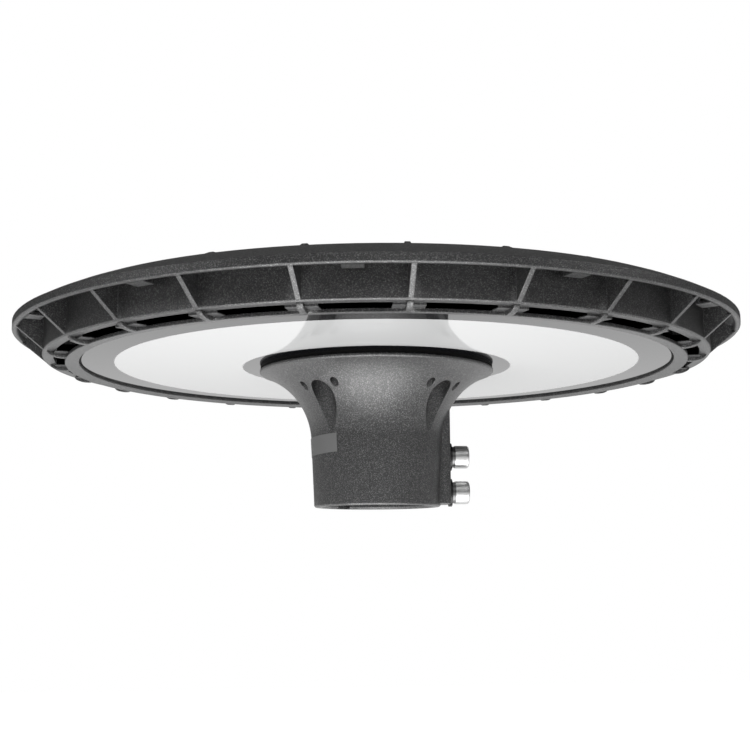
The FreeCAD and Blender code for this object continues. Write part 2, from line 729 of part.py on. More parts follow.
def make_spigot():
    # trumpet casting: tapered neck, flare and flange, with the post bore
    body = new_body("spigot")
    centre = d.neck_radius + d.flare_radius
    rest = centre - d.spigot_flange + d.edge_break
    flare_end = spigot_top - d.spigot_flange_edge
    flare_start = flare_end - root(d.flare_radius * d.flare_radius - rest * rest)
    section = new_sketch(body, "spigot_section", "XZ_Plane")
    outline(section, [
        (d.bore_radius + d.mouth_chamfer, zero),
        (d.mouth_radius - d.edge_break, zero),
        (d.mouth_radius, d.edge_break),
        (d.neck_radius, flare_start, d.flare_radius, "right"),
        (d.spigot_flange - d.edge_break, flare_end),
        (d.spigot_flange, flare_end + d.edge_break),
        (d.spigot_flange, spigot_top - d.edge_break),
        (d.spigot_flange - d.edge_break, spigot_top),
        (d.stop_radius, spigot_top),
        (d.stop_radius, bore_depth),
        (d.bore_radius, bore_depth),
        (d.bore_radius, d.mouth_chamfer),
    ])
    revolve(body, "trumpet", section)

    # flat pad for the clamp screws, with hollow blends to the neck, run up into the flare
    half = d.pad_width / 2.0
    corner = root(d.pad_reach * d.pad_reach + half * half)
    drop = centre - corner
    pad_height = flare_start + root(d.flare_radius * d.flare_radius - drop * drop)
    wall_middle = (d.bore_radius + d.mouth_radius) / 2.0
    side = d.pad_reach - d.pad_side
    spread = half + d.pad_spread
    foot = root(wall_middle * wall_middle + d.mouth_wall * wall_middle - spread * spread)
    pad_outline = new_sketch(body, "pad_outline", "XY_Plane", offset=d.pad_low)
    outline(pad_outline, [
        (foot, -spread, d.pad_blend, "right"),
        (side, -half),
        (d.pad_reach - d.pad_corner, -half),
        (d.pad_reach, -(half - d.pad_corner)),
        (d.pad_reach, half - d.pad_corner),
        (d.pad_reach - d.pad_corner, half),
        (side, half, d.pad_blend, "right"),
        (foot, spread),
        (wall_middle, zero),
    ])
    pad(body, "clamp_pad", pad_outline, pad_height - d.pad_low)
    thread_outline = new_sketch(body, "clamp_thread_outline", "YZ_Plane", offset=d.pad_reach)
    for height in (d.clamp_low, d.clamp_low + d.clamp_pitch):
        circle_at(thread_outline, zero, height, d.clamp_thread + d.thread_clear)
    pocket(body, "clamp_threads", thread_outline, d.pad_reach - d.bore_radius + d.mouth_chamfer)

    # keyway that lines the light up with the post
    along = cosine(d.key_angle)
    across = sine(d.key_angle)
    low = d.bore_radius - d.key_depth
    high = d.bore_radius + d.key_depth
    wide = d.key_width / 2.0
    key_outline = new_sketch(body, "key_outline", "XY_Plane")
    outline(key_outline, [
        (low * along + wide * across, low * across - wide * along),
        (high * along + wide * across, high * across - wide * along),
        (high * along - wide * across, high * across + wide * along),
        (low * along - wide * across, low * across + wide * along),
    ])
    pocket(body, "keyway", key_outline, bore_depth - d.key_width, upward=True)

    # scallops with their screw seats, and the small dimples on both sides of each
    seat = spigot_top - d.seat_depth
    scallop_outline = new_sketch(body, "scallop_outline", "XY_Plane")
    screw_outline = new_sketch(body, "screw_hole_outline", "XY_Plane")
    dimple_outline = new_sketch(body, "dimple_outline", "XY_Plane")
    step = full_turn / d.scallop_count
    for index, (x, y) in enumerate(spigot_screw_places):
        circle_at(scallop_outline, x, y, d.scallop_radius)
        circle_at(screw_outline, x, y, d.spigot_thread + d.hole_clear)
        for side in (-1.0, 1.0):
            angle = d.scallop_start + step * index + d.dimple_angle * side
            circle_at(
                dimple_outline, d.dimple_circle * cosine(angle), d.dimple_circle * sine(angle),
                d.dimple_radius)
    pocket(body, "scallops", scallop_outline, seat, upward=True)
    pocket(body, "screw_holes", screw_outline, spigot_top, upward=True)
    pocket(body, "dimples", dimple_outline, spigot_top - d.dimple_depth, upward=True)

    # weight-saving pockets in the top, between the screws
    core_outline = new_sketch(body, "core_outline", "XY_Plane", offset=spigot_top)
    along = cosine(d.core_angle)
    across = sine(d.core_angle)
    outline(core_outline, [
        (d.core_inner * along, -(d.core_inner * across)),
        (d.core_outer * along, -(d.core_outer * across), d.core_outer, "left"),
        (d.core_outer * along, d.core_outer * across),
        (d.core_inner * along, d.core_inner * across, d.core_inner, "right"),
    ])
    core = pocket(body, "core", core_outline, d.core_depth)
    round_pattern(body, "cores", [core], d.scallop_count)
    return body


def make_clamp_screws():
    body = new_body("clamp_screws")
    seat = d.pad_reach + d.flat_washer_thickness + d.spring_washer_thickness
    head_outline = new_sketch(body, "clamp_head_outline", "YZ_Plane", offset=seat)
    circle_at(head_outline, zero, d.clamp_low, d.clamp_head)
    head = pad(body, "clamp_head", head_outline, d.clamp_head_height)
    doc.recompute()
    rim = [
        "Edge%d" % index for index, edge in enumerate(head.Shape.Edges, start=1)
        if isinstance(edge.Curve, Part.Circle) and edge.Curve.Center.x > seat.value + 1.0]
    break_edges(body, "clamp_head_edge", head, d.edge_break, rim)
    shank_outline = new_sketch(body, "clamp_shank_outline", "YZ_Plane", offset=seat)
    circle_at(shank_outline, zero, d.clamp_low, d.clamp_thread)
    pad(body, "clamp_shank", shank_outline, seat - d.bore_radius - d.clamp_tip, downward=True)
    socket_outline = new_sketch(
        body, "clamp_socket_outline", "YZ_Plane", offset=seat + d.clamp_head_height)
    hexagon_at(socket_outline, zero, d.clamp_low, d.clamp_socket)
    pocket(body, "clamp_socket", socket_outline, d.clamp_head_height / 2.0)
    return pair_of(body)


def make_clamp_washers(name, start, radius, thickness, split):
    body = new_body(name)
    washer_outline = new_sketch(body, name + "_outline", "YZ_Plane", offset=start)
    circle_at(washer_outline, zero, d.clamp_low, radius)
    circle_at(washer_outline, zero, d.clamp_low, d.clamp_thread + d.hole_clear)
    pad(body, name + "_disc", washer_outline, thickness)
    if split is not None:
        split_outline = new_sketch(body, name + "_split_outline", "YZ_Plane", offset=start + thickness)
        rectangle_at(
            split_outline, -(split / 2.0), d.clamp_low + d.clamp_thread,
            split / 2.0, d.clamp_low + radius + split)
        pocket(body, name + "_split", split_outline, thickness)
    return pair_of(body)


def pair_of(body):
    # the same piece at both clamp screws: the whole piece so far, repeated up the pad
    features = [
        part for part in body.Group
        if part.TypeId in ("PartDesign::Pad", "PartDesign::Pocket", "PartDesign::Chamfer")]
    pattern = line_pattern(body, body.Name + "_pair", [], "Z_Axis", d.clamp_pitch, 2)
    pattern.TransformMode = "Whole shape"
    pattern.BaseFeature = features[-1]
    return body


def make_led_board():
    body = ring("led_board", board_inner, board_outer, board_under, plate_under)
    holes = new_sketch(body, "board_hole_outline", "XY_Plane", offset=board_under)
    for x, y in board_screw_places:
        circle_at(holes, x, y, d.board_thread + d.hole_clear)
    pocket(body, "board_holes", holes, d.board_thickness, upward=True)
    return body


def make_led_chips():
    body = new_body("led_chips")
    rings = (
        ("inner", board_inner + d.chip_margin, d.chip_count_inner),
        ("middle", (board_inner + board_outer) / 2.0, d.chip_count_middle),
        ("outer", board_outer - d.chip_margin, d.chip_count_outer),
    )
    half = d.chip_size / 2.0
    for name, radius, count in rings:
        chip_outline = new_sketch(body, "chip_outline_" + name, "XY_Plane", offset=board_under)
        rectangle_at(chip_outline, radius - half, -half, radius + half, half)
        chip = pad(body, "chip_" + name, chip_outline, d.chip_thickness, downward=True)
        round_pattern(body, "chips_" + name, [chip], count)
    return body


def make_driver():
    # potted case with a mounting ear at each end
    body = new_body("driver")
    low_y = d.driver_offset - d.driver_width / 2.0
    high_y = d.driver_offset + d.driver_width / 2.0
    half = d.driver_length / 2.0
    case_outline = new_sketch(body, "driver_case_outline", "XY_Plane", offset=cup_floor)
    rectangle_at(case_outline, -half, low_y, half, high_y)
    case = pad(body, "driver_case", case_outline, d.driver_height)
    corners = upright_edges(case, [(-half, low_y), (half, low_y), (half, high_y), (-half, high_y)])
    round_edges(body, "driver_corners", case, d.driver_round, corners)
    ear_outline = new_sketch(body, "driver_ear_outline", "XY_Plane", offset=cup_floor)
    reach = half + d.driver_ear
    rectangle_at(
        ear_outline, -reach, d.driver_offset - d.driver_ear / 2.0,
        reach, d.driver_offset + d.driver_ear / 2.0)
    pad(body, "driver_ears", ear_outline, d.driver_ear_thickness)
    holes = new_sketch(body, "driver_hole_outline", "XY_Plane", offset=cup_floor)
    for x, y in driver_ends:
        circle_at(holes, x, y, d.cover_thread + d.hole_clear)
    pocket(body, "driver_holes", holes, d.driver_ear_thickness, upward=True)
    return body


def make_terminal_block():
    # three-pole block with screw wells on top and lead entries in front
    body = new_body("terminal_block")
    half_x = d.block_length / 2.0
    half_y = d.block_width / 2.0
    body_outline = new_sketch(body, "block_outline", "XY_Plane", offset=cup_floor)
    rectangle_at(
        body_outline, d.block_x - half_x, d.block_y - half_y, d.block_x + half_x, d.block_y + half_y)
    pad(body, "block_case", body_outline, d.block_height)
    foot_outline = new_sketch(body, "block_foot_outline", "XY_Plane", offset=cup_floor)
    reach = half_x + d.block_foot * 2.0
    rectangle_at(
        foot_outline, d.block_x - reach, d.block_y - d.block_foot,
        d.block_x + reach, d.block_y + d.block_foot)
    pad(body, "block_foot", foot_outline, d.driver_ear_thickness)
    holes = new_sketch(body, "block_hole_outline", "XY_Plane", offset=cup_floor)
    for x, y in block_ends:
        circle_at(holes, x, y, d.cover_thread + d.hole_clear)
    pocket(body, "block_holes", holes, d.driver_ear_thickness, upward=True)
    wells = new_sketch(body, "well_outline", "XY_Plane", offset=cup_floor + d.block_height)
    for pole in (-1.0, 0.0, 1.0):
        for side in (-1.0, 1.0):
            circle_at(
                wells, d.block_x + d.block_pitch * pole, d.block_y + half_y / 2.0 * side, d.pole_well)
    pocket(body, "wells", wells, d.pole_depth)
    return body


def lead_along(name, paths, radius):
    # leads as round rods; a path is a row of straight runs and bends that meet in line
    rods = []
    for edges in paths:
        pieces = []
        for edge in edges:
            start = edge.valueAt(edge.FirstParameter)
            way = edge.tangentAt(edge.FirstParameter)
            disc = Part.Face(Part.Wire(Part.Circle(start, way, radius.value).toShape()))
            if edge.Curve.TypeId == "Part::GeomCircle":
                swing = math.degrees(edge.LastParameter - edge.FirstParameter)
                pieces.append(disc.revolve(edge.Curve.Center, edge.Curve.Axis, swing))
            else:
                pieces.append(disc.extrude(way * edge.Length))
        rod = pieces[0].fuse(pieces[1:]) if len(pieces) > 1 else pieces[0]
        length = sum(edge.Length for edge in edges)
        if abs(rod.Volume / (math.pi * radius.value ** 2 * length) - 1.0) > 0.01:
            raise RuntimeError("lead %s has the wrong volume" % name)
        rods.append(rod)
    lead = doc.addObject("Part::Feature", name)
    lead.Shape = Part.makeCompound(rods)
    return lead


def make_supply_leads():
    # straight leads from the terminal block to the driver
    start_y = d.block_y.value + d.block_width.value / 2.0
    end_y = d.driver_offset.value - d.driver_width.value / 2.0
    height = (cup_floor + d.lead_height).value
    paths = []
    for pole in (-1.0, 0.0, 1.0):
        x = d.block_x.value + d.block_pitch.value * pole
        line = Part.LineSegment(FreeCAD.Vector(x, start_y, height), FreeCAD.Vector(x, end_y, height))
        paths.append([line.toShape()])
    return lead_along("supply_leads", paths, d.lead_radius)


def make_dc_leads():
    # from the driver through the grommet, then up to the lamp board
    start_y = d.driver_offset.value + d.driver_width.value / 2.0
    height = lead_hole_height.value
    rise = board_under.value - height
    bend_y = dc_end.value - rise
    paths = []
    for side in (-0.5, 0.5):
        x = d.dc_spacing.value * side
        bend_start = FreeCAD.Vector(x, bend_y, height)
        centre = FreeCAD.Vector(x, bend_y, board_under.value)
        middle = centre + FreeCAD.Vector(0, rise * math.sqrt(0.5), -rise * math.sqrt(0.5))
        end = FreeCAD.Vector(x, dc_end.value, board_under.value)
        run = Part.LineSegment(FreeCAD.Vector(x, start_y, height), bend_start)
        bend = Part.Arc(bend_start, middle, end)
        paths.append([run.toShape(), bend.toShape()])
    return lead_along("dc_leads", paths, d.dc_radius)


def make_lead_grommet():
    # rubber grommet in the compartment wall, round the Y axis
    body = new_body("lead_grommet")
    reach = d.grommet_flange_thickness
    # the round wall stands back from the flat flanges at their edge
    inner_face = d.cup_radius
    outer_face = cup_outer
    parts = (
        ("grommet_neck", inner_face - reach, outer_face + reach, d.grommet_neck),
        ("grommet_inner", inner_face - reach - reach / 2.0, inner_face - reach / 2.0, d.grommet_flange),
        ("grommet_outer", outer_face, outer_face + reach, d.grommet_flange),
    )
    for name, start, end, radius in parts:
        disc = new_sketch(body, name + "_outline", "XZ_Plane", offset=-start)
        circle_at(disc, zero, lead_hole_height, radius)
        pad(body, name, disc, end - start, downward=True)
    bore = new_sketch(body, "grommet_bore_outline", "XZ_Plane")
    circle_at(bore, zero, lead_hole_height, d.grommet_bore)
    pocket(body, "grommet_bore", bore, outer_face + reach * 2.0)
    return body


def make_earth_screw():
    seat = cup_floor
    body = upright_screws(
        "earth_screw", earth_place, seat + d.earth_washer_thickness, d.cover_head, d.cover_head_height,
        d.cover_thread, d.floor_grip + d.earth_washer_thickness, d.cover_socket, up=False)
    washer = new_sketch(body, "earth_washer_outline", "XY_Plane", offset=seat)
    for x, y in earth_place:
        circle_at(washer, x, y, d.earth_washer)
    pad(body, "earth_washer", washer, d.earth_washer_thickness)
    return body


def hexagon_nut(name, low, height, bore):
    body = new_body(name)
    sketch = new_sketch(body, name + "_outline", "XY_Plane", offset=low)
    hexagon_at(sketch, zero, zero, d.gland_hex)
    pad(body, name + "_hexagon", sketch, height)
    hole = new_sketch(body, name + "_bore_outline", "XY_Plane", offset=low)
    circle_at(hole, zero, zero, bore)
    pocket(body, name + "_bore", hole, height, upward=True)
    return body


def make_gland_body():
    # hexagon under the hub, thread up through the floor and sleeve down into the spigot
    hexagon_low = hub_under - d.gland_hex_height
    body = new_body("gland_body")
    sleeve = new_sketch(body, "gland_section", "XZ_Plane")
    top = cup_floor + d.locknut_height + d.gland_end
    outline(sleeve, [
        (d.gland_bore, hexagon_low - d.gland_sleeve_length),
        (d.gland_sleeve, hexagon_low - d.gland_sleeve_length),
        (d.gland_sleeve, hub_under - d.bite),
        (d.gland_thread, hub_under - d.bite),
        (d.gland_thread, top),
        (d.gland_bore, top),
    ])
    revolve(body, "gland_tube", sleeve)
    flats = new_sketch(body, "gland_hex_outline", "XY_Plane", offset=hexagon_low)
    hexagon_at(flats, zero, zero, d.gland_hex)
    circle_at(flats, zero, zero, d.gland_bore)
    pad(body, "gland_hexagon", flats, d.gland_hex_height)
    return body


def make_gland_cap_nut():
    # hexagon nut with a lip that holds the seal under the sleeve
    nut_top = hub_under - d.gland_hex_height
    low = nut_top - d.gland_nut_height
    body = hexagon_nut("gland_cap_nut", low, d.gland_nut_height, d.gland_entry)
    thread = new_sketch(body, "gland_cap_thread_outline", "XY_Plane", offset=low + d.gland_nut_lip)
    circle_at(thread, zero, zero, d.gland_sleeve + d.thread_clear)
    pocket(body, "gland_cap_thread", thread, d.gland_nut_height - d.gland_nut_lip, upward=True)
    return body


def make_driver_cover():
    # coned lid with a turned-down edge
    body = new_body("driver_cover")
    face = cup_top + d.cover_seal
    rim = face + d.cover_wall
    rise = d.cover_crown
    section = new_sketch(body, "cover_section", "XZ_Plane")
    outline(section, [
        (zero, face + rise),
        (cover_flat, face),
        (cover_radius - d.cover_wall, face),
        (cover_radius - d.cover_wall, face - d.cover_skirt),
        (cover_radius, face - d.cover_skirt),
        (cover_radius, rim - d.edge_break * 2.0),
        (cover_radius - d.edge_break * 2.0, rim),
        (cover_flat, rim),
        (zero, rim + rise),
    ])
    revolve(body, "cover_dome", section)
    holes = new_sketch(body, "cover_screw_hole_outline", "XY_Plane", offset=face)
    for x, y in cover_screw_places:
        circle_at(holes, x, y, d.cover_thread + d.hole_clear)
    pocket(body, "cover_screw_holes", holes, d.cover_wall, upward=True)
    return body


def make_all():
    housing = make_housing()
    glass_top = glass_face + d.glass_thickness
    hexagon_low = hub_under - d.gland_hex_height
    sleeve_low = hexagon_low - d.gland_sleeve_length
    cap_low = hexagon_low - d.gland_nut_height
    pad_outside = d.pad_reach + d.flat_washer_thickness
    cover_face = cup_top + d.cover_seal
    ear_top = cup_floor + d.driver_ear_thickness
    return [
        housing,
        ring("diffuser", d.glass_bore, glass_radius, glass_face, glass_top),
        make_outer_gasket(),
        ring("inner_gasket", d.glass_bore, cup_outer - d.seal_clear, glass_top, seat_height),
        ring("spigot_gasket", d.hub_radius + d.seal_clear, d.spigot_seal_radius, hub_under, glass_face),
        make_spigot(),
        upright_screws(
            "spigot_screws", spigot_screw_places, spigot_top - d.seat_depth, d.spigot_head,
            d.spigot_head_height, d.spigot_thread, d.seat_depth + d.spigot_grip, d.spigot_socket, up=True),
        make_clamp_screws(),
        make_clamp_washers(
            "clamp_flat_washers", d.pad_reach, d.flat_washer_radius, d.flat_washer_thickness, None),
        make_clamp_washers(
            "clamp_spring_washers", pad_outside, d.spring_washer_radius, d.spring_washer_thickness,
            d.spring_washer_split),
        make_led_board(),
        make_led_chips(),
        upright_screws(
            "led_board_screws", board_screw_places, board_under, d.board_head, d.board_head_height,
            d.board_thread, d.board_thickness + d.board_grip, d.board_socket, up=True),
        make_driver(),
        upright_screws(
            "driver_screws", driver_ends, ear_top, d.cover_head, d.cover_head_height, d.cover_thread,
            d.driver_ear_thickness + d.floor_grip, d.cover_socket, up=False),
        make_terminal_block(),
        upright_screws(
            "terminal_block_screws", block_ends, ear_top, d.cover_head, d.cover_head_height,
            d.cover_thread, d.driver_ear_thickness + d.floor_grip, d.cover_socket, up=False),
        make_supply_leads(),
        make_dc_leads(),
        make_lead_grommet(),
        make_earth_screw(),
        make_gland_body(),
        ring("gland_seal", d.gland_entry, d.gland_sleeve, cap_low + d.gland_nut_lip, sleeve_low),
        make_gland_cap_nut(),
        hexagon_nut("gland_locknut", cup_floor, d.locknut_height, d.gland_thread + d.thread_clear),
        make_driver_cover(),
        ring("cover_gasket", d.cup_radius + d.seal_clear, cup_outer - d.seal_clear, cup_top, cover_face),
        upright_screws(
            "cover_screws", cover_screw_places, cover_face + d.cover_wall, d.cover_head,
            d.cover_head_height, d.cover_thread, d.cover_wall + d.cover_seal + d.cover_screw_depth,
            d.cover_socket, up=False),
    ]


def check_and_write(pieces):
    doc.recompute()
    for thing in doc.Objects:
        if "Invalid" in thing.State or "Error" in thing.State:
            raise RuntimeError("%s failed: %s" % (thing.Name, thing.State))
    for piece in pieces:
        if piece.Shape.isNull() or not piece.Shape.isValid() or not piece.Shape.Solids:
            raise RuntimeError("%s has no sound shape" % piece.Label)
    os.makedirs("parts", exist_ok=True)
    for piece in pieces:
        piece.Shape.exportStep("parts/%s.step" % piece.Label)
        print(piece.Label, len(piece.Shape.Solids), round(piece.Shape.Volume / 1000.0, 2), "cm3")


check_and_write(make_all())
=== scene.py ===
from math import atan2, cos, degrees, radians, sin

import bpy
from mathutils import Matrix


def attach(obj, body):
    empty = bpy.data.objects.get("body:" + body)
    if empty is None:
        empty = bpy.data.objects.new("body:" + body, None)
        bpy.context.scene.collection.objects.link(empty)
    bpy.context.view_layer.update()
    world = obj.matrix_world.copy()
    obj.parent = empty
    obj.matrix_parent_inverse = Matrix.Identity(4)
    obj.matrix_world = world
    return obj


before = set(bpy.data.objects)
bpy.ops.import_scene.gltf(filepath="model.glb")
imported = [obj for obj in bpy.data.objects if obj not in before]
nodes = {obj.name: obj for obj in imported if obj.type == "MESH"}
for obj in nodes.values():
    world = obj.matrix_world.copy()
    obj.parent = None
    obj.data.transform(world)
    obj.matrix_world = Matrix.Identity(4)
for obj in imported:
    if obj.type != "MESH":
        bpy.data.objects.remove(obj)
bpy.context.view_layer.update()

bpy.ops.object.select_all(action="DESELECT")
print("frame loaded:", len(nodes), "nodes")


# small helpers for shader trees

noiseLimits = (0.3, 0.7)  # most values of a noise lie between these
noiseRoughness = 0.55
bevelSamples = 4
mixSockets = {"factor": 0, "first": 6, "second": 7, "result": 2}  # colour sockets of a mix node


def newMaterial(name):
    material = bpy.data.materials.new(name)
    material.use_nodes = True
    tree = material.node_tree
    return material, tree, tree.nodes["Principled BSDF"]


def addNode(tree, kind, **settings):
    # settings that start with in_ are values of the node's sockets
    node = tree.nodes.new(kind)
    for key, value in settings.items():
        if key.startswith("in_"):
            node.inputs[key[3:].replace("_", " ")].default_value = value
        else:
            setattr(node, key, value)
    return node


def feed(tree, value, socket):
    # a number or a colour is set, an output is linked
    if isinstance(value, (int, float)):
        socket.default_value = value
    elif isinstance(value, tuple):
        socket.default_value = (*value, 1)
    else:
        tree.links.new(value, socket)


def objectPoint(tree, scale=(1, 1, 1)):
    place = addNode(tree, "ShaderNodeTexCoord")
    mapping = addNode(tree, "ShaderNodeMapping", in_Scale=scale)
    tree.links.new(place.outputs["Object"], mapping.inputs["Vector"])
    return mapping.outputs["Vector"]


def axisRadius(tree):
    # distance from the post axis
    length = addNode(tree, "ShaderNodeVectorMath", operation="LENGTH")
    tree.links.new(objectPoint(tree, (1, 1, 0)), length.inputs[0])
    return length.outputs["Value"]


def mathStep(tree, operation, first, second, clamp=False):
    step = addNode(tree, "ShaderNodeMath", operation=operation, use_clamp=clamp)
    feed(tree, first, step.inputs[0])
    feed(tree, second, step.inputs[1])
    return step.outputs[0]


def mixColours(tree, factor, first, second):
    mix = addNode(tree, "ShaderNodeMix", data_type="RGBA")
    for key, value in (("factor", factor), ("first", first), ("second", second)):
        feed(tree, value, mix.inputs[mixSockets[key]])
    return mix.outputs[mixSockets["result"]]


def ramp(tree, factor, low, high, start, end):
    node = addNode(
        tree, "ShaderNodeMapRange", in_From_Min=low, in_From_Max=high, in_To_Min=start, in_To_Max=end)
    tree.links.new(factor, node.inputs["Value"])
    return node.outputs["Result"]


def within(tree, value, low, high, soft):
    # 1 between the two limits, 0 outside
    above = ramp(tree, value, low - soft, low, 0.0, 1.0)
    return mathStep(tree, "MULTIPLY", above, ramp(tree, value, high, high + soft, 1.0, 0.0))


def ringMask(tree, radius, height, ring):
    # 1 inside a ring round the post axis, 0 outside
    across = within(tree, radius, *ring["radii"], ring["radiusSoft"])
    upright = within(tree, height, *ring["heights"], ring["heightSoft"])
    return mathStep(tree, "MULTIPLY", across, upright)


def noiseOf(tree, vector, scale, detail):
    node = addNode(
        tree, "ShaderNodeTexNoise", in_Scale=scale, in_Detail=detail, in_Roughness=noiseRoughness)
    tree.links.new(vector, node.inputs["Vector"])
    return node.outputs["Fac"]


def addRoughness(tree, shader, noise, look):
    rough = ramp(tree, noise, *noiseLimits, look["roughLow"], look["roughHigh"])
    tree.links.new(rough, shader.inputs["Roughness"])


def addBump(tree, shader, height, look):
    bump = addNode(tree, "ShaderNodeBump", in_Strength=look["bump"], in_Distance=look["bumpHeight"])
    tree.links.new(height, bump.inputs["Height"])
    if "edge" in look:
        # rounds the sharp edges in the shading
        soft = addNode(tree, "ShaderNodeBevel", samples=bevelSamples, in_Radius=look["edge"])
        tree.links.new(soft.outputs[0], bump.inputs["Normal"])
    tree.links.new(bump.outputs["Normal"], shader.inputs["Normal"])


# finishes

def makeCoat(name, look):
    # fine-textured powder coat with bright flakes in it, and painted shade inside the air trough and on
    # the inner edge of the lip
    material, tree, shader = newMaterial(name)
    point = objectPoint(tree)
    cloud = noiseOf(tree, point, look["cloudScale"], look["detail"])
    grain = noiseOf(tree, point, look["grainScale"], look["detail"])
    cells = addNode(tree, "ShaderNodeTexVoronoi", in_Scale=look["flakeScale"])
    tree.links.new(point, cells.inputs["Vector"])
    pick = addNode(tree, "ShaderNodeSeparateColor")
    tree.links.new(cells.outputs["Color"], pick.inputs[0])
    flake = ramp(tree, pick.outputs[0], 1.0 - look["flakeShare"], 1.0, 0.0, 1.0)
    speck = ramp(tree, grain, *noiseLimits, 0.0, 1.0)
    shift = ramp(tree, cloud, *noiseLimits, -look["cloud"], look["cloud"])
    tone = mathStep(tree, "ADD", speck, shift, clamp=True)
    paint = mixColours(tree, tone, look["dark"], look["light"])
    flaked = mixColours(tree, flake, paint, look["flake"])
    radius = axisRadius(tree)
    parts = addNode(tree, "ShaderNodeSeparateXYZ")
    tree.links.new(point, parts.inputs[0])
    # painted shade: near black with no gloss inside the air trough, where the slots look in, and partly
    # so on the inner edge of the lip
    trough = ringMask(tree, radius, parts.outputs["Z"], look["trough"])
    lip = ringMask(tree, radius, parts.outputs["Z"], look["lip"])
    paintedShade = mathStep(tree, "MAXIMUM", trough, mathStep(tree, "MULTIPLY", lip, look["lipShade"]))
    tree.links.new(mixColours(tree, paintedShade, flaked, look["paintedShadeColour"]), shader.inputs["Base Color"])
    tree.links.new(mathStep(tree, "MULTIPLY", flake, look["flakeMetal"]), shader.inputs["Metallic"])
    tree.links.new(ramp(tree, paintedShade, 0.0, 1.0, look["gloss"], 0.0), shader.inputs["Specular IOR Level"])
    addRoughness(tree, shader, grain, look)
    addBump(tree, shader, grain, look)
    return material


def makePrintedGlass(name, look):
    # white field with black printed borders behind clear glass
    material, tree, shader = newMaterial(name)
    radius = axisRadius(tree)
    inner, outer, soft = look["fieldInner"], look["fieldOuter"], look["fieldSoft"]
    outside = ramp(tree, radius, inner - soft, inner + soft, 0.0, 1.0)
    inside = ramp(tree, radius, outer - soft, outer + soft, 1.0, 0.0)
    field = mathStep(tree, "MULTIPLY", outside, inside)
    tree.links.new(mixColours(tree, field, look["border"], look["field"]), shader.inputs["Base Color"])
    smear = noiseOf(tree, objectPoint(tree), look["smearScale"], look["detail"])
    addRoughness(tree, shader, smear, look)
    shader.inputs["IOR"].default_value = look["ior"]
    return material


def makeSteel(name, look):
    # turned and tumbled metal
    material, tree, shader = newMaterial(name)
    streak = noiseOf(tree, objectPoint(tree, look["stretch"]), look["streakScale"], look["detail"])
    tree.links.new(mixColours(tree, streak, look["dark"], look["light"]), shader.inputs["Base Color"])
    shader.inputs["Metallic"].default_value = 1.0
    addRoughness(tree, shader, streak, look)
    addBump(tree, shader, streak, look)
    return material


def makeMoulded(name, look):
    # rubber and plastic with a slight cloud in colour and gloss
    material, tree, shader = newMaterial(name)
    point = objectPoint(tree)
    cloud = noiseOf(tree, point, look["cloudScale"], look["cloudDetail"])
    grain = noiseOf(tree, point, look["grainScale"], look["grainDetail"])
    tree.links.new(mixColours(tree, cloud, look["dark"], look["light"]), shader.inputs["Base Color"])
    shader.inputs["Specular IOR Level"].default_value = look["gloss"]
    addRoughness(tree, shader, cloud, look)
    addBump(tree, shader, grain, look)
    return material


coatLook = {
    # the last colour on the next line is painted shade, near black, for the air trough and the inner edge
    # of the lip
    "dark": (0.008, 0.008, 0.0084), "light": (0.043, 0.043, 0.044), "paintedShadeColour": (0.0005, 0.0005, 0.0005),
    "cloudScale": 14.0, "cloud": 0.2, "grainScale": 1900.0, "detail": 2.0,
    "roughLow": 0.34, "roughHigh": 0.45, "gloss": 0.8,
    "bump": 0.7, "bumpHeight": 0.0002, "edge": 0.0007,
    "flakeScale": 3300.0, "flakeShare": 0.30, "flake": (0.24, 0.24, 0.24), "flakeMetal": 0.5,
    # ring inside the air trough that gets the painted shade
    "trough": {
        "radii": (0.1716, 0.1825), "radiusSoft": 0.0003,
        "heights": (0.0812, 0.0855), "heightSoft": 0.0006,
    },
    # ring on the inner edge of the lip that gets part of the painted shade
    "lip": {
        "radii": (0.2014, 0.2029), "radiusSoft": 0.0004,
        "heights": (0.0941, 0.0949), "heightSoft": 0.0002,
    },
    # share of the painted shade that falls on the lip's inner edge
    "lipShade": 0.65,
}
glassLook = {
    "fieldInner": 0.0777, "fieldOuter": 0.150, "fieldSoft": 0.0004,
    "border": (0.004, 0.004, 0.005), "field": (0.68, 0.685, 0.685),
    "smearScale": 9.0, "detail": 2.0, "roughLow": 0.03, "roughHigh": 0.06, "ior": 1.39,
}
steelLook = {
    "dark": (0.50, 0.50, 0.50), "light": (0.74, 0.74, 0.735),
    "stretch": (1, 3, 3), "streakScale": 320.0, "detail": 4.0,
    "roughLow": 0.26, "roughHigh": 0.42, "bump": 0.25, "bumpHeight": 0.0002,
}
springLook = dict(steelLook, dark=(0.09, 0.09, 0.09), light=(0.24, 0.24, 0.24))
washerLook = dict(steelLook, dark=(0.03, 0.03, 0.03), light=(0.05, 0.05, 0.05))
brassLook = dict(steelLook, dark=(0.60, 0.42, 0.16), light=(0.76, 0.56, 0.24))
